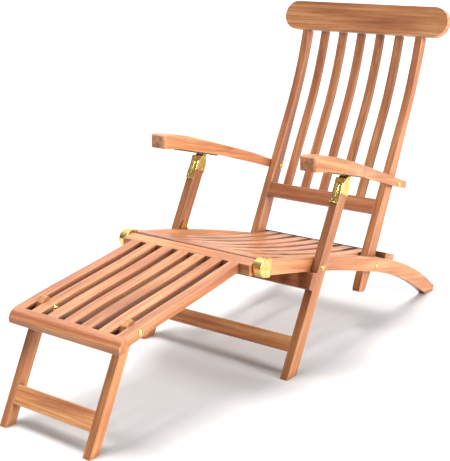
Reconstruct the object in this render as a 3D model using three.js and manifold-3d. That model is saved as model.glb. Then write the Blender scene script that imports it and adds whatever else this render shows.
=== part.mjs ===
// Folding steamer deck chair: teak boards, brass fittings, millimetres, +Z up.
// X runs across the chair, Y from the foot end (-Y) to the backrest (+Y), Z = 0 is the ground.
// Nearly every board is a side outline in the (y, z) plane, extruded across X.

import * as THREE from 'three';
import { mergeVertices } from 'three/addons/utils/BufferGeometryUtils.js';
import Module from 'manifold-3d';

const wasm = await Module();
wasm.setup();

// ---------------------------------------------------------------- driving dimensions

const BOARD = 24; // thickness of the legs, seat rails and back stiles
const PLAY = 0.8; // side play between two boards that turn on each other
const GAP = 0.3; // clearance between pieces that are fixed together

// Across the chair, from the outside in (right half; the left half mirrors it).
const LEG_OUT = 275;
const LEG_IN = LEG_OUT - BOARD;
const RAIL_OUT = LEG_IN - PLAY;
const RAIL_IN = RAIL_OUT - BOARD;
const STILE_OUT = RAIL_IN - PLAY;
const STILE_IN = STILE_OUT - BOARD;

// Pivots in the (y, z) plane. The post and the stile are the two parallel links of the fold.
const LEG_PIVOT = [18, 286];
const BACK_PIVOT = [383, 194];
const LINK = [128, 240];
const CATCH = [LEG_PIVOT[0] + LINK[0], LEG_PIVOT[1] + LINK[1]];
const ARM_PIVOT = [BACK_PIVOT[0] + LINK[0], BACK_PIVOT[1] + LINK[1]];
const FOOTREST_PIVOT = [-236, 345];
const FOOT_LEG_PIVOT = [-673, 284];
const FOOT_LEG_TOE = [-815, 0];

// Fasteners
const BOLT_RADIUS = 4;
const BORE_RADIUS = 4.5;
const HEAD_RADIUS = 9.5;
const NUT_RADIUS = 7.5;
const ROUND_SIDES = 20;

// Main legs
const LEG_FRONT = 24; // from the leg's pivot line to its front edge
const LEG_REAR = 18.5; // and to its rear edge
const LEG_TOP_DROP = 8; // from the catch pin down to the end of the wood
const LEG_RAIL = { bottom: 75, thick: 20 }; // along the leg, below its pivot
const STRETCHER = { top: 212, bottom: 257, thick: 22 };

// Seat
const SEAT_RAIL_HEAD = 24.6;
const FRONT_RAIL = { front: -207.5, rear: -160, thick: 24 };
const REAR_RAIL = { front: 440, rear: 494, thick: 19 };
const SLAT_PITCH = 58;
const SEAT_SLAT = { count: 7, width: 36, thick: 14, rearTop: 222, dish: 11 };

// Backrest
const BACK_SLAT = { count: 5, pitch: 70, width: 28, thick: 12, setback: 5 };
const BACK_RAIL = { low: 348, high: 391, thick: 24 };
const HEADREST = { halfLength: 305, height: 96, thick: 24, tilt: 14, foot: [671, 885] };

// Armrests
const ARM_FRONT = { inner: 237, outer: 295, end: -66 };
const ARM_TAPER = { start: 90, end: 380 };
const ARM_TAIL = { centre: [550, 425.5], radius: 12, slope: -16.7 };
const ARM_LIFT = 9; // underside of the arm above the centre of the catch pin
const RACK = { ahead: 134, behind: 75, width: 16, land: 4.3, pitch: 28, notch: 4.5, notchCentre: 2.8 };
const RACK_ZONE = { front: 8, rear: 224 }; // where the arm's underside is straight, along Y
const NOTCHES = [-4, -3, -2, -1, 0, 1, 2];

// Footrest
const FOOT_RAIL = { inner: 157.3, outer: 189, depth: 25 };
const FOOT_SLAT = { count: 5, width: 34, thick: 18 };
const FOOT_CROSS_RAIL = { halfWidth: 223.9, front: -274, round: 19, thick: 31 };
const FOOT_FRONT = -725; // rear face of the front rail
const FOOT_LEG = { inner: 133.6, outer: 156.6, halfDepth: 15.2 };
const FOOT_CROWN = { height: 24, front: -6, rear: 3, nose: 16.7, shoulder: 3.5 }; // the legs' upper ends
const FOOT_STRETCHER = { top: 210, bottom: 261, thick: 20 };

// Brass sheet
const CAP = { wall: 1.6, reach: 23 };
const BRACKET = { wall: 1.8, cheekTop: 7.5, shoulder: 26, cheekEnd: 53, webTop: 9, webEnd: 84 };

// The origin sits under the middle of the bounding box.
const ORIGIN_Y = 11.3;

// ---------------------------------------------------------------- materials

const material = (color, roughness, metalness) =>
  new THREE.MeshStandardMaterial({ color, roughness, metalness });
const teak = () => material('#c98d5c', 0.55, 0);
const teakPale = () => material('#dcab80', 0.55, 0);
const brass = () => material('#c9a94a', 0.22, 1);

const chair = new THREE.Group();

function addMesh(name, geometry, finish) {
  const mesh = new THREE.Mesh(geometry, finish);
  mesh.name = name;
  chair.add(mesh);
}

// ---------------------------------------------------------------- plane geometry

const add = (a, b, k = 1) => [a[0] + k * b[0], a[1] + k * b[1]];
const unit = (v) => {
  const length = Math.hypot(v[0], v[1]);
  return [v[0] / length, v[1] / length];
};
const arcPoints = (centre, radius, from, to, steps) => {
  const points = [];
  for (let i = 0; i <= steps; i += 1) {
    const angle = THREE.MathUtils.degToRad(from + ((to - from) * i) / steps);
    points.push([centre[0] + radius * Math.cos(angle), centre[1] + radius * Math.sin(angle)]);
  }
  return points;
};

// A closed outline with its corners rounded; a radius of 0 keeps the corner sharp.
function rounded(corners, radii, steps = 3) {
  const points = [];
  corners.forEach((corner, i) => {
    const radius = Array.isArray(radii) ? radii[i] : radii;
    const before = corners[(i + corners.length - 1) % corners.length];
    const after = corners[(i + 1) % corners.length];
    if (radius === 0) {
      points.push(corner);
      return;
    }
    const toBefore = unit(add(before, corner, -1));
    const toAfter = unit(add(after, corner, -1));
    const start = add(corner, toBefore, radius);
    const end = add(corner, toAfter, radius);
    for (let k = 0; k <= steps; k += 1) {
      const t = k / steps;
      const a = add([0, 0], start, (1 - t) * (1 - t));
      const b = add(a, corner, 2 * t * (1 - t));
      points.push(add(b, end, t * t));
    }
  });
  return points;
}

// A smooth curve through hand-placed (y, z) points, with its normal to the upper left of travel.
class EdgeCurve {
  constructor(points) {
    this.curve = new THREE.CatmullRomCurve3(points.map(([y, z]) => new THREE.Vector3(y, z, 0)), false, 'centripetal');
  }
  at(t, offset = 0) {
    const point = this.curve.getPoint(t);
    const tangent = this.curve.getTangent(t);
    return [point.x - tangent.y * offset, point.y + tangent.x * offset];
  }
  // The curve parameter at which the offset curve reaches the given y.
  findY(y, offset = 0) {
    let [low, high] = [0, 1];
    const rising = this.at(1)[0] > this.at(0)[0];
    for (let i = 0; i < 50; i += 1) {
      const middle = (low + high) / 2;
      if (this.at(middle, offset)[0] < y === rising) low = middle;
      else high = middle;
    }
    return low;
  }
  // A band between two offsets; an offset may be a number or a function of t.
  band(from, to, upper, lower, steps) {
    const value = (offset, t) => (typeof offset === 'function' ? offset(t) : offset);
    const top = [];
    const bottom = [];
    for (let i = 0; i <= steps; i += 1) {
      const t = from + ((to - from) * i) / steps;
      top.push(this.at(t, value(upper, t)));
      bottom.unshift(this.at(t, value(lower, t)));
    }
    return [...bottom, ...top];
  }
}

// Keeps the part of an outline that lies above the ground.
function clipAtGround(points) {
  const kept = [];
  points.forEach((point, i) => {
    const next = points[(i + 1) % points.length];
    if (point[1] >= 0) kept.push(point);
    if (point[1] >= 0 !== next[1] >= 0) {
      const t = point[1] / (point[1] - next[1]);
      kept.push([point[0] + t * (next[0] - point[0]), 0]);
    }
  });
  return kept;
}

// ---------------------------------------------------------------- solids

function extrude(points, depth) {
  const shape = new THREE.Shape(points.map(([x, y]) => new THREE.Vector2(x, y)));
  return new THREE.ExtrudeGeometry(shape, { depth, bevelEnabled: false });
}

// A side outline in (y, z), extruded from x = from to x = to.
function board(points, from, to) {
  const geometry = extrude(points, to - from);
  const placement = new THREE.Matrix4().makeBasis(
    new THREE.Vector3(0, 1, 0),
    new THREE.Vector3(0, 0, 1),
    new THREE.Vector3(1, 0, 0),
  );
  placement.setPosition(from, 0, 0);
  return geometry.applyMatrix4(placement);
}

// A plan outline in (x, y), extruded upwards.
const slab = (points, low, high) => extrude(points, high - low).translate(0, 0, low);

function toSolid(geometry) {
  const bare = geometry.clone();
  bare.deleteAttribute('normal');
  bare.deleteAttribute('uv');
  const welded = mergeVertices(bare, 1e-4);
  const mesh = new wasm.Mesh({
    numProp: 3,
    vertProperties: new Float32Array(welded.attributes.position.array),
    triVerts: new Uint32Array(welded.index.array),
  });
  return new wasm.Manifold(mesh);
}

function toGeometry(solid) {
  const { vertProperties, triVerts } = solid.getMesh();
  const geometry = new THREE.BufferGeometry();
  geometry.setAttribute('position', new THREE.BufferAttribute(new Float32Array(vertProperties), 3));
  geometry.setIndex(new THREE.BufferAttribute(new Uint32Array(triVerts), 1));
  return geometry;
}

const rod = ([y, z], radius, from, to) => board(arcPoints([y, z], radius, 0, 360, ROUND_SIDES).slice(1), from, to);

// Cuts round bores along X at each centre.
function bored(geometry, centres, radius = BORE_RADIUS) {
  let solid = toSolid(geometry);
  for (const centre of centres) solid = solid.subtract(toSolid(rod(centre, radius, -400, 400)));
  return toGeometry(solid);
}

const mirrored = (geometry) => {
  const flipped = geometry.clone().applyMatrix4(new THREE.Matrix4().makeScale(-1, 1, 1));
  const index = flipped.index ? flipped.index.array : Uint32Array.from({ length: flipped.attributes.position.count }, (_, i) => i);
  const turned = new Uint32Array(index.length);
  for (let i = 0; i < index.length; i += 3) turned.set([index[i], index[i + 2], index[i + 1]], i);
  flipped.setIndex(new THREE.BufferAttribute(turned, 1));
  return flipped;
};

function addPair(name, geometry, finish) {
  addMesh(`${name}_right`, geometry, finish());
  addMesh(`${name}_left`, mirrored(geometry), finish());
}

// A row of equal slats side by side, numbered from left to right.
function addRow(name, count, pitch, width, outline, borings = () => []) {
  for (let i = 0; i < count; i += 1) {
    const middle = (i - (count - 1) / 2) * pitch;
    const slat = board(outline, middle - width / 2, middle + width / 2);
    const bores = borings(i);
    addMesh(`${name}_${i + 1}`, bores.length > 0 ? bored(slat, bores) : slat, teakPale());
  }
}

// A turned piece round the X axis at (y, z): the profile lists [x, radius] from end to end.
function turned([y, z], profile) {
  const points = profile.map(([x, radius]) => new THREE.Vector2(radius, x));
  const geometry = new THREE.LatheGeometry(points, ROUND_SIDES);
  return geometry.rotateZ(-Math.PI / 2).translate(0, y, z);
}

// A bolt with a low domed head outside and a domed nut inside, one captive piece.
function bolt(centre, outside, inside) {
  const head = outside + GAP;
  const nut = inside - GAP;
  return turned(centre, [
    [nut - 7, 0],
    [nut - 6.2, NUT_RADIUS * 0.6],
    [nut - 4, NUT_RADIUS * 0.95],
    [nut, NUT_RADIUS],
    [nut, BOLT_RADIUS],
    [head, BOLT_RADIUS],
    [head, HEAD_RADIUS],
    [head + 1.6, HEAD_RADIUS * 0.93],
    [head + 3.6, HEAD_RADIUS * 0.6],
    [head + 4.6, 0],
  ]);
}

// ---------------------------------------------------------------- seat frame

// Middle line of a seat rail: nearly straight under the seat, then bent down to the ground.
const railLine = new EdgeCurve([
  FOOTREST_PIVOT,
  [-57, 309],
  [122, 268],
  [300, 221],
  [440, 179],
  [582, 123],
  [709, 54],
  [795, -7],
]);
const railHalfDepth = (t) => 20 + 5 * t;
const railTop = (y) => {
  const t = railLine.findY(y, 21.5);
  return railLine.at(t, railHalfDepth(t))[1];
};
const railUnderside = (y) => {
  const t = railLine.findY(y, -21.5);
  return railLine.at(t, -railHalfDepth(t))[1];
};
const railSlope = unit(add(railLine.at(0.04), railLine.at(0), -1));

function seatRail() {
  const start = railLine.findY(FOOTREST_PIVOT[0] + SEAT_RAIL_HEAD);
  const band = railLine.band(start, 1, railHalfDepth, (t) => -railHalfDepth(t), 22);
  const tail = toSolid(board(clipAtGround(band), RAIL_IN, RAIL_OUT));
  const head = toSolid(rod(FOOTREST_PIVOT, SEAT_RAIL_HEAD, RAIL_IN, RAIL_OUT));
  const across = [-railSlope[1], railSlope[0]];
  const neckStart = add(FOOTREST_PIVOT, across, -18);
  const neckEnd = add(FOOTREST_PIVOT, railSlope, SEAT_RAIL_HEAD + 6);
  const neck = [
    neckStart,
    add(neckEnd, across, -18),
    add(neckEnd, across, 18),
    add(FOOTREST_PIVOT, across, 18),
  ];
  const whole = tail.add(head).add(toSolid(board(neck, RAIL_IN, RAIL_OUT)));
  return bored(toGeometry(whole), [LEG_PIVOT, BACK_PIVOT, FOOTREST_PIVOT]);
}

// A folded brass cap: a round-fronted channel that wraps the end of the seat rail.
function railCap() {
  const across = [-railSlope[1], railSlope[0]];
  const slope = THREE.MathUtils.radToDeg(Math.atan2(railSlope[1], railSlope[0]));
  const dShape = (radius, reach) => [
    ...arcPoints(FOOTREST_PIVOT, radius, slope + 90, slope + 270, 14),
    add(add(FOOTREST_PIVOT, railSlope, reach), across, -radius),
    add(add(FOOTREST_PIVOT, railSlope, reach), across, radius),
  ];
  const inside = SEAT_RAIL_HEAD + GAP;
  const outer = toSolid(board(dShape(inside + CAP.wall, CAP.reach), RAIL_IN - GAP - CAP.wall, RAIL_OUT + GAP + CAP.wall));
  const hollow = toSolid(board(dShape(inside, CAP.reach + 5), RAIL_IN - GAP, RAIL_OUT + GAP));
  return toGeometry(outer.subtract(hollow).subtract(toSolid(rod(FOOTREST_PIVOT, BORE_RADIUS, 200, RAIL_IN))));
}

function addSeatFrame() {
  addPair('seat_rail', seatRail(), teak);
  addPair('rail_cap', railCap(), brass);
  const pin = turned(FOOTREST_PIVOT, [
    [206, 0],
    [206, BOLT_RADIUS],
    [RAIL_OUT, BOLT_RADIUS],
    [RAIL_OUT, 0],
  ]);
  addPair('footrest_pin', pin, brass);

  const inside = RAIL_IN - GAP;
  const frontTop = railTop(FRONT_RAIL.front);
  const rearTop = railTop(FRONT_RAIL.rear);
  const front = rounded(
    [
      [FRONT_RAIL.front, frontTop - FRONT_RAIL.thick],
      [FRONT_RAIL.rear, rearTop - FRONT_RAIL.thick],
      [FRONT_RAIL.rear, rearTop],
      [FRONT_RAIL.front, frontTop],
    ],
    [3, 0, 0, 7],
  );
  addMesh('seat_front_rail', board(front, -inside, inside), teakPale());

  const rest = (t) => railHalfDepth(t) + GAP;
  const rear = railLine.band(
    railLine.findY(REAR_RAIL.front, 32),
    railLine.findY(REAR_RAIL.rear, 32),
    (t) => rest(t) + REAR_RAIL.thick,
    rest,
    4,
  );
  addMesh('seat_rear_rail', board(rear, -RAIL_OUT, RAIL_OUT), teakPale());

  const slatFront = FRONT_RAIL.rear + GAP;
  const slatRear = REAR_RAIL.front - 3.5;
  const steps = 12;
  const topLine = [];
  for (let i = 0; i <= steps; i += 1) {
    const t = i / steps;
    const chord = rearTop - 0.5 + (SEAT_SLAT.rearTop - rearTop) * t;
    topLine.push([slatFront + (slatRear - slatFront) * t, chord - 4 * SEAT_SLAT.dish * t * (1 - t)]);
  }
  const underLine = topLine.map(([y, z]) => [y, z - SEAT_SLAT.thick]).reverse();
  addRow('seat_slat', SEAT_SLAT.count, SLAT_PITCH, SEAT_SLAT.width, [...underLine, ...topLine].reverse());

  const gusset = [
    [16, railTop(16) + GAP],
    [55, railTop(55) + GAP],
    [35, 338],
  ];
  addPair('rail_gusset', board(rounded(gusset, 2), LEG_IN - 4.4, LEG_IN - 1.6), brass);
}

// ---------------------------------------------------------------- main leg frame

const legUp = unit(LINK);
const legRear = [legUp[1], -legUp[0]];
// A point of the leg frame: down from the leg pivot, and back from the leg's middle line.
const onLeg = (down, back) => add(add(LEG_PIVOT, legUp, -down), legRear, back);

function addLegFrame() {
  const above = Math.hypot(...LINK) - LEG_TOP_DROP;
  const past = 360;
  const post = rounded(
    [
      onLeg(past, -LEG_FRONT),
      onLeg(past, LEG_REAR),
      onLeg(-above, LEG_REAR),
      onLeg(-above, -LEG_FRONT),
    ],
    [0, 0, 9, 3],
  );
  addPair('main_leg', bored(board(clipAtGround(post), LEG_IN, LEG_OUT), [LEG_PIVOT]), teak);

  // The upper rail is lapped on the front of the legs; its bevelled top stops under the seat rails.
  const face = -LEG_FRONT - GAP;
  const underRail = (back) => {
    let down = 0;
    while (onLeg(down, back)[1] > railUnderside(onLeg(down, back)[0]) - GAP) down += 0.05;
    return onLeg(down, back);
  };
  const upper = rounded(
    [
      onLeg(LEG_RAIL.bottom, face - LEG_RAIL.thick),
      onLeg(LEG_RAIL.bottom, face),
      underRail(face),
      underRail(face - LEG_RAIL.thick),
    ],
    [2, 2, 0, 0],
    2,
  );
  addMesh('leg_upper_rail', board(upper, -LEG_OUT, LEG_OUT), teak());

  const stretcher = rounded(
    [
      onLeg(STRETCHER.bottom, -LEG_FRONT),
      onLeg(STRETCHER.bottom, STRETCHER.thick - LEG_FRONT),
      onLeg(STRETCHER.top, STRETCHER.thick - LEG_FRONT),
      onLeg(STRETCHER.top, -LEG_FRONT),
    ],
    2,
    2,
  );
  addMesh('leg_stretcher', board(stretcher, GAP - LEG_IN, LEG_IN - GAP), teak());
  addPair('leg_pivot_bolt', bolt(LEG_PIVOT, LEG_OUT, RAIL_IN), brass);
  addPair('catch_bracket', catchBracket(), brass);

  const pin = turned(CATCH, [
    [LEG_IN - 4, 0],
    [LEG_IN - 4, BOLT_RADIUS],
    [LEG_OUT + 2.6, BOLT_RADIUS],
    [LEG_OUT + 2.6, 6.2],
    [LEG_OUT + 4, 5.6],
    [LEG_OUT + 4.8, 3],
    [LEG_OUT + 5, 0],
  ]);
  addPair('catch_pin', pin, brass);
}

// A folded brass channel on top of the post: two round-topped cheeks and a longer front web.
function catchBracket() {
  const onPost = (down, back) => add(add(CATCH, legUp, -down), legRear, back);
  const front = -LEG_FRONT - GAP;
  const rear = LEG_REAR + GAP;
  const up = THREE.MathUtils.radToDeg(Math.atan2(legUp[1], legUp[0]));
  const cheek = [
    ...arcPoints(CATCH, BRACKET.cheekTop, up - 62, up + 62, 8),
    onPost(BRACKET.shoulder, front),
    onPost(BRACKET.cheekEnd, front),
    onPost(BRACKET.cheekEnd, rear),
    onPost(BRACKET.shoulder, rear),
  ];
  const web = [
    onPost(BRACKET.webTop, front),
    onPost(BRACKET.webTop, front - BRACKET.wall),
    onPost(BRACKET.webEnd, front - BRACKET.wall),
    onPost(BRACKET.webEnd, front),
  ];
  const [inner, outer] = [LEG_IN - GAP, LEG_OUT + GAP];
  const webSolid = toSolid(board(web, inner - BRACKET.wall, outer + BRACKET.wall));
  // The cheeks reach just into the web, so that the three walls are one folded sheet.
  const cheekFull = [
    onPost(BRACKET.shoulder, front - BRACKET.wall / 2),
    onPost(BRACKET.cheekEnd, front - BRACKET.wall / 2),
    onPost(BRACKET.cheekEnd, front + 1),
    onPost(BRACKET.shoulder, front + 1),
  ];
  let whole = webSolid;
  for (const [from, to] of [
    [inner - BRACKET.wall, inner],
    [outer, outer + BRACKET.wall],
  ]) {
    whole = whole.add(toSolid(board(cheek, from, to))).add(toSolid(board(cheekFull, from, to)));
  }
  return bored(toGeometry(whole), [CATCH]);
}

// ---------------------------------------------------------------- backrest

const stileFront = new EdgeCurve([
  [318, 119],
  [327, 148],
  [420, 336],
  [512, 513],
  [600, 682],
  [646, 800],
  [670.8, 884.2],
]);
const stileRear = new EdgeCurve([
  [352, 111],
  [374, 143],
  [406, 196],
  [471, 336],
  [524, 447],
  [594, 600],
  [645, 712],
  [683, 812],
  [703, 876],
]);

function addBackrest() {
  const edge = (curve, steps) => Array.from({ length: steps + 1 }, (_, i) => curve.at(i / steps));
  const foot = rounded([edge(stileRear, 16)[1], stileRear.at(0), stileFront.at(0), edge(stileFront, 16)[1]], [0, 9, 9, 0]);
  const stile = [...foot, ...edge(stileFront, 16).slice(2), ...edge(stileRear, 16).slice(2).reverse()];
  const bores = [BACK_PIVOT, ARM_PIVOT];
  addPair('back_stile', bored(board(stile.reverse(), STILE_IN, STILE_OUT), bores), teak);

  const heightAt = (z) => {
    let t = 0;
    while (stileFront.at(t)[1] < z) t += 0.001;
    return t;
  };
  const low = stileFront.at(heightAt(BACK_RAIL.low));
  const high = stileFront.at(heightAt(BACK_RAIL.high));
  const along = unit(add(high, low, -1));
  const inward = [along[1], -along[0]];
  const rail = rounded(
    [low, add(low, inward, BACK_RAIL.thick), add(high, inward, BACK_RAIL.thick), high],
    2,
    2,
  );
  addMesh('back_lower_rail', board(rail, GAP - STILE_IN, STILE_IN - GAP), teakPale());

  const slat = stileFront.band(
    heightAt(BACK_RAIL.high + 1),
    0.998,
    -BACK_SLAT.setback,
    -BACK_SLAT.setback - BACK_SLAT.thick,
    12,
  );
  addRow('back_slat', BACK_SLAT.count, BACK_SLAT.pitch, BACK_SLAT.width, slat);
  addMesh('headrest', headrest(), teakPale());
  addPair('back_pivot_bolt', bolt(BACK_PIVOT, RAIL_OUT, STILE_IN), brass);
}

// A board with fully round ends, leaning back a little on top of the stiles.
function headrest() {
  const radius = HEADREST.height / 2;
  const straight = HEADREST.halfLength - radius;
  const outline = [
    ...arcPoints([straight, radius], radius, -90, 90, 14),
    ...arcPoints([-straight, radius], radius, 90, 270, 14),
  ];
  return extrude(outline, HEADREST.thick)
    .rotateX(Math.PI / 2)
    .translate(0, HEADREST.thick, 0)
    .rotateX(-THREE.MathUtils.degToRad(HEADREST.tilt))
    .translate(0, HEADREST.foot[0], HEADREST.foot[1]);
}

// ---------------------------------------------------------------- armrests

const rackAlong = unit(add(ARM_PIVOT, CATCH, -1));
const rackUp = [-rackAlong[1], rackAlong[0]];
// A point of the arm: back along the rack from the catch pin, and up from the pin's centre.
const onRack = (back, up) => add(add(CATCH, rackAlong, back), rackUp, up);

function armSolid() {
  const under = (y) => {
    const base = onRack(0, ARM_LIFT);
    return base[1] + ((y - base[0]) * rackAlong[1]) / rackAlong[0];
  };
  const [tailUnder, tailTop] = [ARM_TAIL.slope - 90, ARM_TAIL.slope + 90];
  const tail = arcPoints(ARM_TAIL.centre, ARM_TAIL.radius, tailUnder, tailTop, 8);
  const topLine = new EdgeCurve([
    [ARM_FRONT.end, 623.5],
    [-10, 616.5],
    [50, 604],
    [100, 588.5],
    [156, 571.5],
    [371, 503],
    [480, 462.5],
    tail[tail.length - 1],
  ]);
  const underLine = new EdgeCurve([
    [RACK_ZONE.rear, under(RACK_ZONE.rear)],
    [310, 488],
    [395, 462],
    [480, 434],
    tail[0],
  ]);
  const sample = (curve, steps) => Array.from({ length: steps + 1 }, (_, i) => curve.at(i / steps));
  const behindNose = ARM_FRONT.end + 22;
  const nose = rounded(
    [
      topLine.at(topLine.findY(behindNose)),
      [ARM_FRONT.end, 623.5],
      [ARM_FRONT.end, 581],
      [RACK_ZONE.front, under(RACK_ZONE.front)],
      [RACK_ZONE.rear, under(RACK_ZONE.rear)],
    ],
    [0, 9, 6, 0, 0],
  );
  const profile = [
    ...sample(topLine, 20)
      .filter(([y]) => y > behindNose)
      .reverse(),
    ...nose.slice(1, -1),
    ...sample(underLine, 7),
    ...tail.slice(1, -1),
  ];
  const side = toSolid(board(profile, ARM_FRONT.inner - 40, ARM_FRONT.outer + 10));

  const steps = 10;
  const outer = [];
  const inner = [];
  for (let i = 0; i <= steps; i += 1) {
    const t = i / steps;
    const ease = t * t * (3 - 2 * t);
    const y = ARM_TAPER.start + (ARM_TAPER.end - ARM_TAPER.start) * t;
    outer.push([ARM_FRONT.outer + (RAIL_OUT - ARM_FRONT.outer) * ease, y]);
    inner.unshift([ARM_FRONT.inner + (RAIL_IN - ARM_FRONT.inner) * ease, y]);
  }
  const front = rounded(
    [
      [ARM_FRONT.inner, ARM_TAPER.start],
      [ARM_FRONT.inner, ARM_FRONT.end - 1],
      [ARM_FRONT.outer, ARM_FRONT.end - 1],
      [ARM_FRONT.outer, ARM_TAPER.start],
    ],
    [0, 17, 17, 0],
    5,
  );
  const plan = [...front.slice(1, -1), ...outer, [RAIL_OUT, 620], [RAIL_IN, 620], ...inner];
  return side.intersect(toSolid(slab(plan, 380, 660)));
}

// A brass rack screwed under the arm, with round notches for the catch pin.
function rack() {
  const middle = (LEG_IN + LEG_OUT) / 2;
  const [from, to] = [middle - RACK.width / 2, middle + RACK.width / 2];
  const bar = [
    onRack(-RACK.ahead, RACK.land),
    onRack(RACK.behind, RACK.land),
    onRack(RACK.behind, ARM_LIFT - GAP),
    onRack(-RACK.ahead, ARM_LIFT - GAP),
  ];
  const centres = NOTCHES.map((step) => onRack(step * RACK.pitch, RACK.notchCentre));
  return bored(board(bar, from, to), centres, RACK.notch);
}

function addArmrests() {
  addPair('armrest', bored(toGeometry(armSolid()), [ARM_PIVOT]), teakPale);
  addPair('arm_rack', rack(), brass);
  addPair('arm_pivot_bolt', bolt(ARM_PIVOT, RAIL_OUT, STILE_IN), brass);
}

// ---------------------------------------------------------------- footrest

// Upper face of the footrest, from the front rail up to the cross rail at the seat.
const footTop = new EdgeCurve([
  [FOOT_FRONT, 286],
  [-626, 303.5],
  [-520, 319],
  [-398, 337],
  [FOOT_CROSS_RAIL.front, 357.5],
]);

function addFootrest() {
  const [from, to] = [footTop.findY(FOOT_FRONT + GAP), footTop.findY(FOOT_CROSS_RAIL.front - GAP)];
  const deck = Array.from({ length: 13 }, (_, i) => footTop.at(from + ((to - from) * i) / 12));
  const strip = (depth) => [...deck.map(([y, z]) => [y, z - depth]), ...[...deck].reverse()];
  const side = strip(FOOT_RAIL.depth);
  const sideRail = bored(board(side, FOOT_RAIL.inner, FOOT_RAIL.outer), [FOOT_LEG_PIVOT]);
  addPair('foot_side_rail', sideRail, teak);

  const slat = strip(FOOT_SLAT.thick);
  const outerSlats = (i) => (i === 0 || i === FOOT_SLAT.count - 1 ? [FOOT_LEG_PIVOT] : []);
  addRow('foot_slat', FOOT_SLAT.count, SLAT_PITCH, FOOT_SLAT.width, slat, outerSlats);

  const front = rounded(
    [
      [FOOT_FRONT, 250],
      [FOOT_FRONT, 286],
      [-741, 281],
      [-754, 264],
      [-751, 246],
    ],
    [3, 0, 8, 7, 5],
  );
  addMesh('foot_front_rail', board(front.reverse(), -FOOT_RAIL.outer, FOOT_RAIL.outer), teakPale());

  const crossFront = footTop.at(1);
  const cross = [
    [crossFront[0], crossFront[1] - FOOT_CROSS_RAIL.thick],
    ...arcPoints(FOOTREST_PIVOT, FOOT_CROSS_RAIL.round, -98, 98, 12),
    crossFront,
  ];
  const crossRail = bored(board(cross, -FOOT_CROSS_RAIL.halfWidth, FOOT_CROSS_RAIL.halfWidth), [FOOTREST_PIVOT]);
  addMesh('foot_cross_rail', crossRail, teakPale());
  addMesh('foot_batten', board(battenOutline(), GAP - FOOT_RAIL.inner, FOOT_RAIL.inner - GAP), teak());
}

const footLegUp = unit(add(FOOT_LEG_PIVOT, FOOT_LEG_TOE, -1));
const footLegRear = [footLegUp[1], -footLegUp[0]];
// A point of a footrest leg: down from its pivot, and back from its middle line.
const onFootLeg = (down, back) => add(add(FOOT_LEG_PIVOT, footLegUp, -down), footLegRear, back);

// A batten under the slats, behind the front rail; the opened legs lean against its rear face.
function battenOutline() {
  const lean = (z) => {
    const face = onFootLeg(0, -FOOT_LEG.halfDepth - GAP);
    return face[0] + ((z - face[1]) * footLegUp[0]) / footLegUp[1];
  };
  const under = (y) => footTop.at(footTop.findY(y))[1] - FOOT_SLAT.thick - 1;
  const front = FOOT_FRONT + GAP;
  const low = 247;
  const high = under(-698);
  return [
    [front, low],
    [lean(low), low],
    [lean(high), high],
    [front, under(front)],
  ];
}

// Each leg ends in a crown that slopes up from a low nose and shows between the slats.
function addFootLegs() {
  const past = 340;
  const leg = rounded(
    [
      onFootLeg(past, -FOOT_LEG.halfDepth),
      onFootLeg(past, FOOT_LEG.halfDepth),
      onFootLeg(-FOOT_CROWN.shoulder, FOOT_LEG.halfDepth),
      onFootLeg(-FOOT_CROWN.height, FOOT_CROWN.rear),
      onFootLeg(-FOOT_CROWN.height, FOOT_CROWN.front),
      onFootLeg(-FOOT_CROWN.shoulder, -FOOT_CROWN.nose),
      onFootLeg(FOOT_CROWN.shoulder, -FOOT_LEG.halfDepth),
    ],
    [0, 0, 8, 4, 4, 3, 3],
    4,
  );
  const solid = bored(board(clipAtGround(leg), FOOT_LEG.inner, FOOT_LEG.outer), [FOOT_LEG_PIVOT]);
  addPair('foot_leg', solid, teak);

  const back = FOOT_STRETCHER.thick - FOOT_LEG.halfDepth;
  const stretcher = rounded(
    [
      onFootLeg(FOOT_STRETCHER.bottom, -FOOT_LEG.halfDepth),
      onFootLeg(FOOT_STRETCHER.bottom, back),
      onFootLeg(FOOT_STRETCHER.top, back),
      onFootLeg(FOOT_STRETCHER.top, -FOOT_LEG.halfDepth),
    ],
    2,
    2,
  );
  addMesh('foot_stretcher', board(stretcher, GAP - FOOT_LEG.inner, FOOT_LEG.inner - GAP), teak());
  const slatInside = 2 * SLAT_PITCH - FOOT_SLAT.width / 2;
  addPair('foot_pivot_bolt', bolt(FOOT_LEG_PIVOT, FOOT_RAIL.outer, slatInside), brass);
}

// ---------------------------------------------------------------- the whole chair

addSeatFrame();
addLegFrame();
addBackrest();
addArmrests();
addFootrest();
addFootLegs();
chair.position.y = ORIGIN_Y;

export default chair;
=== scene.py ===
"""Folding steamer deck chair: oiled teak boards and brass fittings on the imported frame.

Metres, +Z up, X across the chair, Y from the foot end to the backrest.
"""

import math

import bmesh
import bpy
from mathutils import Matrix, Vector


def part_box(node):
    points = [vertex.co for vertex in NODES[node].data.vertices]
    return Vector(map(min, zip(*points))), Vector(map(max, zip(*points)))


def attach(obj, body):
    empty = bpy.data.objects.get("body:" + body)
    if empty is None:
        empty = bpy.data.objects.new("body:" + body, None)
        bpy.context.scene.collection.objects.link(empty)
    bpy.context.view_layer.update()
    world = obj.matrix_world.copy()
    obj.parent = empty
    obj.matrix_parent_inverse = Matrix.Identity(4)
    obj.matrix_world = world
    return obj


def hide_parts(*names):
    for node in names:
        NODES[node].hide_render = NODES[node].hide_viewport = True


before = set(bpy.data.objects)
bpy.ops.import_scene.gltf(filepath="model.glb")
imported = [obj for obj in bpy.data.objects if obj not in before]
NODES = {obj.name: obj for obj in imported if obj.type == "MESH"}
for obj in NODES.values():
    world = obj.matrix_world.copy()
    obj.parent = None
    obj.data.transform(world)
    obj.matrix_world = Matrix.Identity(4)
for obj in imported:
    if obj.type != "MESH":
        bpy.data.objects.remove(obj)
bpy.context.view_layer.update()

ACROSS = Vector((1, 0, 0))


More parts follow.
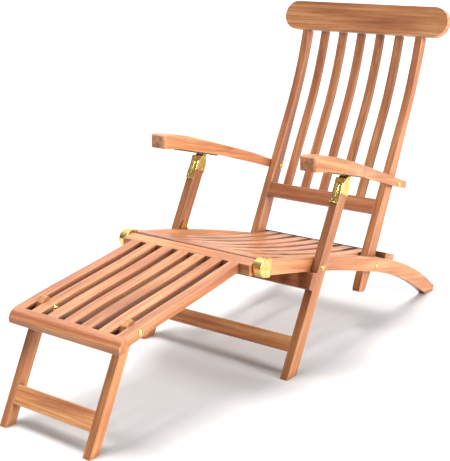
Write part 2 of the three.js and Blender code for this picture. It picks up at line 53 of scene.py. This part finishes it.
def axis_of(name):
    """Where a bolt's or pin's axis crosses the chair's middle plane."""
    low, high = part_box(name)
    return Vector((0, (low.y + high.y) / 2, (low.z + high.z) / 2))


LEG_PIVOT = axis_of("leg_pivot_bolt_right")
BACK_PIVOT = axis_of("back_pivot_bolt_right")
ARM_PIVOT = axis_of("arm_pivot_bolt_right")
CATCH = axis_of("catch_pin_right")
FOOTREST_PIVOT = axis_of("footrest_pin_right")
FOOT_LEG_PIVOT = axis_of("foot_pivot_bolt_right")
POST_UP = (CATCH - LEG_PIVOT).normalized()
FOOT_LEG_UP = Vector((0, 1, 2)).normalized()


# ---------------------------------------------------------------- shader helpers


class Shader:
    """A material's node tree with short ways to add and join nodes."""

    def __init__(self, name):
        self.material = bpy.data.materials.new(name)
        self.material.use_nodes = True
        self.tree = self.material.node_tree
        self.tree.nodes.clear()
        self.surface = self.add("ShaderNodeBsdfPrincipled")
        output = self.add("ShaderNodeOutputMaterial")
        self.join(self.surface.outputs["BSDF"], output.inputs["Surface"])

    def add(self, kind, **settings):
        node = self.tree.nodes.new(kind)
        for key, value in settings.items():
            setattr(node, key, value)
        return node

    def join(self, source, target):
        self.tree.links.new(source, target)

    def put(self, socket, value):
        """Joins an output to a socket, or sets the socket's own value."""
        if isinstance(value, bpy.types.NodeSocket):
            self.join(value, socket)
        else:
            socket.default_value = value

    def math(self, operation, a, b=0.0):
        node = self.add("ShaderNodeMath", operation=operation)
        self.put(node.inputs[0], a)
        self.put(node.inputs[1], b)
        return node.outputs[0]

    def noise(self, vector, scale, detail, roughness=0.55):
        node = self.add("ShaderNodeTexNoise")
        self.join(vector, node.inputs["Vector"])
        node.inputs["Scale"].default_value = scale
        node.inputs["Detail"].default_value = detail
        node.inputs["Roughness"].default_value = roughness
        return node.outputs["Fac"]

    def ramp(self, value, stops):
        node = self.add("ShaderNodeValToRGB")
        self.put(node.inputs["Fac"], value)
        elements = node.color_ramp.elements
        while len(elements) < len(stops):
            elements.new(0.5)
        for element, (position, colour) in zip(elements, stops):
            element.position = position
            element.color = (*colour, 1)
        return node.outputs["Color"]

    def level(self, value, low, high, start=0.0, end=1.0):
        node = self.add("ShaderNodeMapRange", clamp=True)
        self.put(node.inputs["Value"], value)
        for name, number in zip(("From Min", "From Max", "To Min", "To Max"), (low, high, start, end)):
            node.inputs[name].default_value = number
        return node.outputs["Result"]

    def mix(self, factor, a, b):
        node = self.add("ShaderNodeMix", data_type="RGBA")
        factor_in, first_colour, second_colour, colour_out = 0, 6, 7, 2
        self.put(node.inputs[factor_in], factor)
        self.put(node.inputs[first_colour], a)
        self.put(node.inputs[second_colour], b)
        return node.outputs[colour_out]

    def recess(self, distance, shade):
        """0 in the open, up to shade where other surfaces stand within the distance."""
        closed = self.add("ShaderNodeAmbientOcclusion", samples=8)
        closed.inputs["Distance"].default_value = distance
        return self.level(closed.outputs["AO"], *shade)

    def bump(self, height, strength, depth):
        node = self.add("ShaderNodeBump")
        node.inputs["Strength"].default_value = strength
        node.inputs["Distance"].default_value = depth
        self.join(height, node.inputs["Height"])
        self.join(node.outputs["Normal"], self.surface.inputs["Normal"])

    def edges(self, radius):
        """1 on the edges, 0 on the open faces."""
        bevel = self.add("ShaderNodeBevel", samples=4)
        bevel.inputs["Radius"].default_value = radius
        geometry = self.add("ShaderNodeNewGeometry")
        dot = self.add("ShaderNodeVectorMath", operation="DOT_PRODUCT")
        self.join(bevel.outputs["Normal"], dot.inputs[0])
        self.join(geometry.outputs["Normal"], dot.inputs[1])
        return self.level(dot.outputs["Value"], 0.995, 0.86)


def grain_frame(shader, direction, pith):
    """Coordinates whose z runs along the grain; pith is where the tree's heart line passes."""
    position = shader.add("ShaderNodeTexCoord").outputs["Object"]
    turn = direction.to_track_quat("Z", "Y").to_matrix().inverted()
    node = shader.add("ShaderNodeMapping", vector_type="POINT")
    node.inputs["Rotation"].default_value = turn.to_euler()
    node.inputs["Location"].default_value = -(turn @ pith)
    shader.join(position, node.inputs["Vector"])
    return node.outputs["Vector"]


def stretched(shader, vector, along):
    """Coordinates squeezed along the grain, which draws a noise out into streaks."""
    node = shader.add("ShaderNodeVectorMath", operation="MULTIPLY")
    shader.join(vector, node.inputs[0])
    node.inputs[1].default_value = (1, 1, along)
    return node.outputs["Vector"]


# Linear colours of the wood.
LATE_WOOD = (0.22, 0.075, 0.026, 1)
DARK_FIBRE = (0.19, 0.07, 0.028, 1)
PORE = (0.11, 0.037, 0.014, 1)
# Painted shade: the dark colour mixed in where other surfaces stand close, in corners and in the slots
# between slats.
PAINTED_CORNER_SHADE = (0.10, 0.024, 0.007, 1)
# Painted highlight: the pale colour laid along the rounded edges.
PAINTED_EDGE_HIGHLIGHT = (0.66, 0.40, 0.22, 1)
RINGS_PER_METRE = 230


def teak(name, direction, centre, seed, tone_and_painted_light):
    """Oiled teak with its own cut from the tree: rings, fibres, pores and patches, with painted shade in
    the corners and painted highlights along the edges.
    """
    shader = Shader(name)
    turns = seed * 2.399
    side = direction.cross(Vector((0.3, 0.2, 0.9))).normalized()
    other = direction.cross(side).normalized()
    away = 0.035 + 0.05 * ((seed * 0.618) % 1)
    pith = centre + (side * math.cos(turns) + other * math.sin(turns)) * away
    grain = grain_frame(shader, direction, pith)

    wander = shader.noise(stretched(shader, grain, 0.16), 9, 2.5)
    split = shader.add("ShaderNodeSeparateXYZ")
    shader.join(grain, split.inputs[0])
    radius = shader.math(
        "SQRT",
        shader.math(
            "ADD",
            shader.math("MULTIPLY", split.outputs["X"], split.outputs["X"]),
            shader.math("MULTIPLY", split.outputs["Y"], split.outputs["Y"]),
        ),
    )
    wavy = shader.math("ADD", radius, shader.math("MULTIPLY", wander, 0.03))
    rings = shader.math("MULTIPLY", wavy, RINGS_PER_METRE + 30 * (seed % 3))
    ring = shader.math("FRACT", rings)
    late = shader.math("MULTIPLY", shader.level(ring, 0.35, 0.92), shader.level(ring, 1.0, 0.94))
    fibre = shader.noise(stretched(shader, grain, 0.03), 520, 3, 0.65)
    streak = shader.noise(stretched(shader, grain, 0.045), 75, 4, 0.6)
    patch = shader.noise(stretched(shader, grain, 0.3), 6.5, 2)
    pore = shader.level(shader.noise(stretched(shader, grain, 0.05), 900, 1, 0.5), 0.665, 0.73)

    # A darker board is also redder.
    # For some boards this factor holds painted light and shade as well as their own colour.
    red = tone_and_painted_light
    green = tone_and_painted_light**1.35 * (0.94 + 0.12 * ((seed * 0.371) % 1))
    blue = tone_and_painted_light**1.7
    base = shader.ramp(
        shader.math("ADD", shader.math("MULTIPLY", streak, 0.65), shader.math("MULTIPLY", patch, 0.35)),
        [
            (0.34, (0.21 * red, 0.050 * green, 0.014 * blue)),
            (0.48, (0.40 * red, 0.130 * green, 0.036 * blue)),
            (0.64, (0.60 * red, 0.275 * green, 0.105 * blue)),
        ],
    )
    # Painted shade: the wood darkens where other surfaces stand within 35 mm, in corners and in the slots
    # between slats.
    recess = shader.recess(0.035, (0.85, 0.35, 0, 0.95))
    oiled = shader.mix(recess, base, PAINTED_CORNER_SHADE)
    ringed = shader.mix(shader.math("MULTIPLY", late, 0.42), oiled, LATE_WOOD)
    fibred = shader.mix(shader.level(fibre, 0.38, 0.7, 0.22, 0), ringed, DARK_FIBRE)
    pored = shader.mix(shader.math("MULTIPLY", pore, 0.55), fibred, PORE)
    # Painted highlight: a pale colour along the rounded edges, varied with the streaks.
    edge_highlight_amount = shader.math("MULTIPLY", shader.edges(0.0028), shader.level(streak, 0.3, 0.7, 0.18, 0.5))
    edge_highlit = shader.mix(edge_highlight_amount, pored, PAINTED_EDGE_HIGHLIGHT)
    shader.join(edge_highlit, shader.surface.inputs["Base Color"])
    shine = shader.level(fibre, 0.3, 0.7, 0.50, 0.40)
    rough = shader.math("ADD", shine, shader.math("MULTIPLY", late, -0.05))
    matt = shader.math("ADD", rough, shader.math("MULTIPLY", pore, 0.25))
    shader.join(matt, shader.surface.inputs["Roughness"])
    shader.surface.inputs["Specular IOR Level"].default_value = 0.5
    shader.surface.inputs["Coat Weight"].default_value = 0.3
    shader.surface.inputs["Coat Roughness"].default_value = 0.42
    hollow = shader.math("ADD", pore, shader.math("MULTIPLY", late, 0.25))
    shader.bump(shader.math("SUBTRACT", shader.math("MULTIPLY", fibre, 0.5), hollow), 0.35, 0.0004)
    return shader.material


# Painted shade: the dark colour mixed into the brass's hollows, and over the whole rack.
BRASS_PAINTED_SHADE = (0.11, 0.055, 0.018, 1)
BRASS_SPOT = (0.36, 0.20, 0.06, 1)
# Painted highlight: the pale cream laid along the brass's edges.
BRASS_EDGE_HIGHLIGHT = (1.0, 0.86, 0.5, 1)
# Painted shade: how far the rack's brass is darkened all over, for the shade it stands in under the arm.
RACK_PAINTED_SHADE = 0.8


def polished_brass(name, seed, painted_shade=0.0):
    """Polished brass with drawn lines, tarnish in patches, painted shade in the corners and painted
    highlights along the edges.
    """
    shader = Shader(name)
    position = shader.add("ShaderNodeTexCoord").outputs["Object"]
    moved = shader.add("ShaderNodeVectorMath", operation="ADD")
    shader.join(position, moved.inputs[0])
    moved.inputs[1].default_value = (seed * 0.37, seed * 0.11, seed * 0.23)
    where = moved.outputs["Vector"]
    cloud = shader.noise(where, 45, 4, 0.6)
    spots = shader.level(shader.noise(where, 260, 3, 0.6), 0.6, 0.74)
    lines = shader.noise(stretched(shader, where, 0.05), 1400, 2, 0.6)
    base = shader.ramp(
        cloud,
        [
            (0.34, (0.66, 0.42, 0.11)),
            (0.52, (0.86, 0.62, 0.20)),
            (0.7, (0.95, 0.74, 0.31)),
        ],
    )
    # Painted shade: the brass darkens in its hollows, where other surfaces stand within 12 mm, in place of
    # the dark reflections there.
    recess = shader.recess(0.012, (0.8, 0.4, 0, 0.75))
    # Painted shade: the darker of the shade in the hollows and the level given for the whole piece.
    shade_painted_brass = shader.mix(shader.math("MAXIMUM", recess, painted_shade), base, BRASS_PAINTED_SHADE)
    spotted = shader.mix(shader.math("MULTIPLY", spots, 0.4), shade_painted_brass, BRASS_SPOT)
    # Painted highlight: a pale cream mixed in along the edges.
    edge_highlit = shader.mix(shader.math("MULTIPLY", shader.edges(0.0009), 0.6), spotted, BRASS_EDGE_HIGHLIGHT)
    shader.join(edge_highlit, shader.surface.inputs["Base Color"])
    shader.surface.inputs["Metallic"].default_value = 1.0
    shine = shader.level(cloud, 0.3, 0.7, 0.24, 0.13)
    rough = shader.math("ADD", shine, shader.math("MULTIPLY", spots, 0.2))
    drawn = shader.math("ADD", rough, shader.math("MULTIPLY", lines, 0.06))
    shader.join(drawn, shader.surface.inputs["Roughness"])
    shader.bump(shader.math("ADD", lines, cloud), 0.12, 0.0002)
    return shader.material


# ---------------------------------------------------------------- the boards

BRASS_WORDS = ("rail_cap", "footrest_pin", "gusset", "bolt", "catch", "rack")


def grain_direction(name):
    """Which way a board's grain runs: along its length."""
    if name.startswith("main_leg"):
        return POST_UP
    if name.startswith("foot_leg"):
        return FOOT_LEG_UP
    if name.startswith(("back_stile", "back_slat")):
        return Vector((0, 0.42, 0.9)).normalized()
    if name.startswith(("seat_slat", "seat_rail")):
        return Vector((0, 1, -0.22)).normalized()
    if name.startswith("armrest"):
        return Vector((0, 1, -0.25)).normalized()
    if name.startswith(("foot_slat", "foot_side_rail")):
        return Vector((0, 1, 0.15)).normalized()
    return ACROSS


def edge_radius(name):
    """How far the machined edges are rounded over."""
    if name.startswith("armrest"):
        return 0.0045
    if name == "headrest":
        return 0.005
    if name.startswith(("seat_slat", "foot_slat", "back_slat")):
        return 0.0024
    if name in ("foot_front_rail", "foot_cross_rail"):
        return 0.003
    return 0.0028


def finish_edges(piece, radius, segments):
    """Rounds the edges of a board and keeps its flat faces flat."""
    flat = piece.modifiers.new("joined faces", "DECIMATE")
    flat.decimate_type = "DISSOLVE"
    flat.angle_limit = math.radians(0.6)
    flat.delimit = set()
    bevel = piece.modifiers.new("rounded edges", "BEVEL")
    bevel.width = radius
    bevel.segments = segments
    bevel.limit_method = "ANGLE"
    bevel.angle_limit = math.radians(32)
    bevel.harden_normals = False
    bevel.miter_outer = "MITER_ARC"
    for polygon in piece.data.polygons:
        polygon.use_smooth = True
    weighted = piece.modifiers.new("flat shading", "WEIGHTED_NORMAL")
    weighted.weight = 80
    weighted.keep_sharp = False


# Boards made darker or paler one by one, partly their own colour and partly painted light and shade: the
# upper rail under the seat and the main legs are darker as painted shade, the stretchers, the right foot
# leg and the headrest paler as painted light.
BOARD_TONES_AND_PAINTED_LIGHT = (
    ("main_leg_", 0.82),
    ("leg_upper_rail", 0.58),
    ("leg_stretcher", 1.3),
    ("back_lower_rail", 0.92),
    ("armrest_", 1.08),
    ("foot_stretcher", 1.4),
    ("foot_leg_right", 1.2),
    ("foot_front_rail", 1.05),
    ("headrest", 1.25),
)


def board_tone_and_painted_light(name, seed):
    """How pale a board is, as a factor on its colours."""
    for start, tone_and_painted_light in BOARD_TONES_AND_PAINTED_LIGHT:
        if name.startswith(start):
            return tone_and_painted_light
    return 0.86 + 0.26 * ((seed * 0.754877) % 1)


def finish_frame():
    """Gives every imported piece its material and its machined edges."""
    for seed, name in enumerate(sorted(NODES)):
        piece = NODES[name]
        low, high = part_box(name)
        piece.data.materials.clear()
        if any(word in name for word in BRASS_WORDS):
            # Painted shade: the rack's brass is darkened all over.
            painted_shade = RACK_PAINTED_SHADE if "rack" in name else 0.0
            piece.data.materials.append(polished_brass(f"brass {name}", seed, painted_shade))
            sheet = "cap" in name or "catch_bracket" in name
            finish_edges(piece, 0.0004 if sheet else 0.0006, 2)
            continue
        wood = teak(f"teak {name}", grain_direction(name), (low + high) / 2, seed, board_tone_and_painted_light(name, seed))
        piece.data.materials.append(wood)
        finish_edges(piece, edge_radius(name), 3)


finish_frame()


# ---------------------------------------------------------------- the brass fittings

RAIL_SLOPE = Vector((0, 0.98, -0.197)).normalized()
RAIL_UP = ACROSS.cross(RAIL_SLOPE)
POST_REAR = POST_UP.cross(ACROSS)


def new_piece(name, mesh, seed):
    """Adds a brass piece made from a bmesh."""
    bmesh.ops.remove_doubles(mesh, verts=mesh.verts, dist=1e-6)
    bmesh.ops.recalc_face_normals(mesh, faces=mesh.faces)
    data = bpy.data.meshes.new(name)
    mesh.to_mesh(data)
    mesh.free()
    for polygon in data.polygons:
        polygon.use_smooth = True
    data.materials.append(polished_brass(f"brass {name}", seed))
    piece = bpy.data.objects.new(name, data)
    bpy.context.scene.collection.objects.link(piece)
    return piece


def fold_sheet(piece, thickness, radius):
    """Gives a folded sheet its bend radii, its thickness and soft cut edges."""
    bend = piece.modifiers.new("bends", "BEVEL")
    bend.width = radius
    bend.segments = 4
    bend.limit_method = "ANGLE"
    bend.angle_limit = math.radians(50)
    sheet = piece.modifiers.new("sheet", "SOLIDIFY")
    sheet.thickness = thickness
    sheet.offset = -1
    sheet.use_even_offset = True
    cut = piece.modifiers.new("cut edges", "BEVEL")
    cut.width = 0.0003
    cut.segments = 2
    cut.limit_method = "ANGLE"
    cut.angle_limit = math.radians(50)
    weighted = piece.modifiers.new("flat shading", "WEIGHTED_NORMAL")
    weighted.weight = 70


def arc(centre, up, rear, radius, start, end, steps):
    """Points round a centre; the angle runs from up towards the front."""
    points = []
    for i in range(steps + 1):
        angle = math.radians(start + (end - start) * i / steps)
        points.append(centre + up * (math.cos(angle) * radius) - rear * (math.sin(angle) * radius))
    return points


def lathe(mesh, centre, axis, profile, steps=36):
    """Turns (distance along axis, radius) points round the axis."""
    side = axis.orthogonal().normalized()
    other = axis.cross(side)
    rings = []
    for along, radius in profile:
        spot = centre + axis * along
        if radius == 0:
            rings.append([mesh.verts.new(spot)])
            continue
        ring = []
        for i in range(steps):
            angle = 2 * math.pi * i / steps
            ring.append(mesh.verts.new(spot + (side * math.cos(angle) + other * math.sin(angle)) * radius))
        rings.append(ring)
    for near, far in zip(rings, rings[1:]):
        for i in range(steps):
            corners = [near[i % len(near)], near[(i + 1) % len(near)]]
            corners += [far[(i + 1) % len(far)], far[i % len(far)]]
            unique = list(dict.fromkeys(corners))
            if len(unique) > 2:
                mesh.faces.new(unique)


def screw_head(mesh, centre, outward, radius):
    """A low oval head with a round driver recess."""
    lathe(
        mesh,
        centre,
        outward,
        [
            (-0.0002, radius),
            (0.0002, radius),
            (0.0007, radius * 0.86),
            (0.0010, radius * 0.55),
            (0.0010, radius * 0.42),
            (0.0003, radius * 0.30),
            (0.0002, 0),
        ],
        20,
    )


# A cap's radius round the footrest pin, and how far its flaps reach back from there.
CAP_RADIUS = 0.0265
CAP_REACH = 0.0225


def end_caps():
    """Folded brass caps round the front ends of the seat rails."""
    for side, word in ((1, "right"), (-1, "left")):
        low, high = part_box(f"rail_cap_{word}")
        outline = arc(FOOTREST_PIVOT, RAIL_UP, RAIL_SLOPE, CAP_RADIUS, 0, 180, 28)
        reach = RAIL_SLOPE * CAP_REACH
        outline = [outline[0] + reach, *outline, outline[-1] + reach]
        mesh = bmesh.new()
        sides = []
        for x in (low.x, high.x):
            ring = [mesh.verts.new((x, point.y, point.z)) for point in outline]
            mesh.faces.new(ring)
            sides.append(ring)
        for i in range(len(outline) - 1):
            mesh.faces.new((sides[0][i], sides[0][i + 1], sides[1][i + 1], sides[1][i]))
        cap = new_piece(f"end_cap_{word}", mesh, 60 + side)
        fold_sheet(cap, 0.0015, 0.0022)
        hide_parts(f"rail_cap_{word}")
        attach(cap, "seat_frame")


# Places on a bracket, from the catch pin: back across the post, then down it.
BRACKET_FRONT = -0.0261
BRACKET_REAR = 0.0188
BRACKET_CROWN = 0.0075
BRACKET_SHOULDER = 0.026
CHEEK_END = 0.053
WEB_TOP, WEB_END = 0.009, 0.084
SCREW_RADIUS = 0.0030


def on_bracket(down, back, x):
    """The point this far down the post from the pin, back from it, and at x across the chair."""
    point = CATCH - POST_UP * down + POST_REAR * back
    return Vector((x, point.y, point.z))


def spring_tongue(mesh, middle):
    """A bowed strip in front of the bracket's web, as one closed solid."""
    section = ((-1, 0.55), (-0.7, 1), (0.7, 1), (1, 0.55), (0.7, 0.2), (-0.7, 0.2))
    steps = 14
    strips = []
    for i in range(steps + 1):
        t = i / steps
        bow = 0.0004 + 0.0042 * math.sin(math.pi * t) ** 0.8
        width = 0.0062 - 0.0022 * t
        down = 0.024 + 0.044 * t
        strips.append(
            [
                mesh.verts.new(on_bracket(down, BRACKET_FRONT - bow * lift, middle + edge * width))
                for edge, lift in section
            ]
        )
    for upper, lower in zip(strips, strips[1:]):
        for k in range(len(section)):
            after = (k + 1) % len(section)
            mesh.faces.new((upper[k], upper[after], lower[after], lower[k]))
    mesh.faces.new(strips[0])
    mesh.faces.new(strips[-1])


def brackets():
    """Folded brass brackets on the post tops, with a spring tongue, screws and a rolled lower lip."""
    for side, word in ((1, "right"), (-1, "left")):
        low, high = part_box(f"catch_bracket_{word}")
        mesh = bmesh.new()
        for x in (low.x, high.x):
            crown = arc(CATCH, POST_UP, POST_REAR, BRACKET_CROWN, -62, 62, 16)
            cheek = [Vector((x, point.y, point.z)) for point in crown]
            cheek += [on_bracket(down, BRACKET_FRONT, x) for down in (BRACKET_SHOULDER, CHEEK_END)]
            cheek += [on_bracket(down, BRACKET_REAR, x) for down in (CHEEK_END, BRACKET_SHOULDER)]
            mesh.faces.new([mesh.verts.new(point) for point in cheek])
        rungs = [
            [mesh.verts.new(on_bracket(down, BRACKET_FRONT, x)) for x in (low.x, high.x)]
            for down in (WEB_TOP, BRACKET_SHOULDER, CHEEK_END, WEB_END)
        ]
        for upper, lower in zip(rungs, rungs[1:]):
            mesh.faces.new((upper[0], lower[0], lower[1], upper[1]))
        bracket = new_piece(f"bracket_{word}", mesh, 70 + side)
        fold_sheet(bracket, 0.0016, 0.0018)
        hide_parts(f"catch_bracket_{word}")
        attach(bracket, "leg_frame")

        trim = bmesh.new()
        middle = (low.x + high.x) / 2
        half = (high.x - low.x) / 2
        lip = on_bracket(WEB_END - 0.0005, BRACKET_FRONT - 0.0006, middle)
        bead = [(-half, 0), (-half, 0.0009), (-half + 0.0006, 0.0015)]
        bead += [(-along, radius) for along, radius in reversed(bead)]
        lathe(trim, lip, ACROSS, bead, 16)
        for across, down in ((-0.007, 0.076), (0.007, 0.076), (0.0, 0.0165)):
            screw_head(trim, on_bracket(down, BRACKET_FRONT, middle + across), -POST_REAR, SCREW_RADIUS)
        for x, outward in ((low.x, -ACROSS), (high.x, ACROSS)):
            screw_head(trim, on_bracket(0.044, 0.006, x), outward, SCREW_RADIUS)
        spring_tongue(trim, middle)
        tongue = new_piece(f"bracket_trim_{word}", trim, 74 + side)
        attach(tongue, "leg_frame")


# What a bolt's head and nut take up of its length.
HEAD_LENGTH = 0.0046
NUT_LENGTH = 0.007


def bolts():
    """Domed bolts with washers outside and domed nuts inside."""
    bodies = {
        "leg_pivot_bolt": ("leg_frame", LEG_PIVOT),
        "back_pivot_bolt": ("back_pivots", BACK_PIVOT),
        "arm_pivot_bolt": ("arm_bolt", ARM_PIVOT),
        "foot_pivot_bolt": ("footrest_legs", FOOT_LEG_PIVOT),
    }
    for seed, (name, (body, centre)) in enumerate(bodies.items()):
        for side, word in ((1, "right"), (-1, "left")):
            low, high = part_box(f"{name}_{word}")
            outer = max(abs(low.x), abs(high.x)) - HEAD_LENGTH
            inner = min(abs(low.x), abs(high.x)) + NUT_LENGTH
            mesh = bmesh.new()
            profile = [
                (inner - 0.0068, 0),
                (inner - 0.0066, 0.0024),
                (inner - 0.0058, 0.0045),
                (inner - 0.0046, 0.0059),
                (inner - 0.0034, 0.0065),
                (inner - 0.0009, 0.0068),
                (inner - 0.0009, 0.0090),
                (inner, 0.0092),
                (inner, 0.0040),
                (outer, 0.0040),
                (outer, 0.0095),
                (outer + 0.0006, 0.0095),
                (outer + 0.0009, 0.0091),
                (outer + 0.0009, 0.0076),
                (outer + 0.0018, 0.0075),
                (outer + 0.0029, 0.0067),
                (outer + 0.0038, 0.0052),
                (outer + 0.0042, 0.0035),
                (outer + 0.0042, 0.0029),
                (outer + 0.0024, 0.0026),
                (outer + 0.0022, 0),
            ]
            lathe(mesh, centre, ACROSS * side, profile)
            piece = new_piece(f"{name}_{word}_turned", mesh, 80 + 2 * seed + side)
            crisp = piece.modifiers.new("crisp shoulders", "BEVEL")
            crisp.width = 0.00025
            crisp.segments = 2
            crisp.limit_method = "ANGLE"
            crisp.angle_limit = math.radians(40)
            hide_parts(f"{name}_{word}")
            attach(piece, f"{body}_{word}" if body == "arm_bolt" else body)


end_caps()
brackets()
bolts()


# ---------------------------------------------------------------- floor, light, camera


FLOOR_REACH = 60
# Name, where it shines from, strength and angular size in degrees.
SUNS = (
    ("key", (1.0, 0.04, 0.22), 5.4, 22),
    ("top", (-0.2, 0.05, 1.0), 4.6, 30),
    ("front", (-0.2, -1.0, 0.35), 0.42, 40),
)
# The sky is brightest in this direction and dim on the opposite side.
BRIGHT_SKY = (-0.42, 0.78, 0.46)
SKY_LEVELS = (("From Min", -0.25), ("From Max", 1.0), ("To Min", 0.02), ("To Max", 1.35))


def lay_floor():
    """A plain pale floor."""
    material = Shader("floor")
    position = material.add("ShaderNodeTexCoord").outputs["Object"]
    greys = [(0.3, (0.53, 0.53, 0.53)), (0.7, (0.55, 0.55, 0.55))]
    shade = material.ramp(material.noise(position, 3, 2), greys)
    material.join(shade, material.surface.inputs["Base Color"])
    material.surface.inputs["Roughness"].default_value = 0.9
    mesh = bpy.data.meshes.new("floor")
    corners = [(x * FLOOR_REACH, y * FLOOR_REACH, 0) for x, y in ((-1, -1), (1, -1), (1, 1), (-1, 1))]
    mesh.from_pydata(corners, [], [(0, 1, 2, 3)])
    floor = bpy.data.objects.new("floor", mesh)
    floor.data.materials.append(material.material)
    bpy.context.scene.collection.objects.link(floor)


def light_studio():
    """A soft sky, dim towards the front, with three wide suns."""
    world = bpy.data.worlds.new("studio")
    world.use_nodes = True
    nodes = world.node_tree.nodes
    links = world.node_tree.links
    backdrop = nodes["Background"]
    backdrop.inputs["Color"].default_value = (1.0, 1.0, 1.0, 1)
    facing = nodes.new("ShaderNodeVectorMath")
    facing.operation = "DOT_PRODUCT"
    facing.inputs[1].default_value = BRIGHT_SKY
    links.new(nodes.new("ShaderNodeTexCoord").outputs["Generated"], facing.inputs[0])
    level = nodes.new("ShaderNodeMapRange")
    for name, number in SKY_LEVELS:
        level.inputs[name].default_value = number
    links.new(facing.outputs["Value"], level.inputs["Value"])
    seen = nodes.new("ShaderNodeMix")
    seen.inputs["B"].default_value = 1.0
    links.new(nodes.new("ShaderNodeLightPath").outputs["Is Camera Ray"], seen.inputs["Factor"])
    links.new(level.outputs["Result"], seen.inputs["A"])
    links.new(seen.outputs["Result"], backdrop.inputs["Strength"])
    bpy.context.scene.world = world

    for name, source, strength, angle in SUNS:
        light = bpy.data.lights.new(name, "SUN")
        light.energy = strength
        light.angle = math.radians(angle)
        lamp = bpy.data.objects.new(name, light)
        lamp.rotation_euler = Vector(source).to_track_quat("Z", "Y").to_euler()
        bpy.context.scene.collection.objects.link(lamp)
    bpy.context.scene.view_settings.view_transform = "Standard"


# Degrees round from the foot end towards +X, degrees up, then metres and millimetres.
CAMERA = {"azimuth": 36.68, "elevation": 15.77, "distance": 3.099, "lens": 83.27, "sensor": 36}
CAMERA_TARGET = Vector((0, -0.0707, 0.373))


def aim_camera():
    """Looks at the chair from its foot end, a little from above and from the right."""
    azimuth = math.radians(CAMERA["azimuth"])
    elevation = math.radians(CAMERA["elevation"])
    outward = Vector(
        (
            math.sin(azimuth) * math.cos(elevation),
            -math.cos(azimuth) * math.cos(elevation),
            math.sin(elevation),
        )
    )
    data = bpy.data.cameras.new("camera")
    data.lens = CAMERA["lens"]
    data.sensor_width = CAMERA["sensor"]
    camera = bpy.data.objects.new("camera", data)
    camera.location = CAMERA_TARGET + outward * CAMERA["distance"]
    camera.rotation_euler = (-outward).to_track_quat("-Z", "Y").to_euler()
    bpy.context.scene.collection.objects.link(camera)
    bpy.context.scene.camera = camera


lay_floor()
light_studio()
aim_camera()
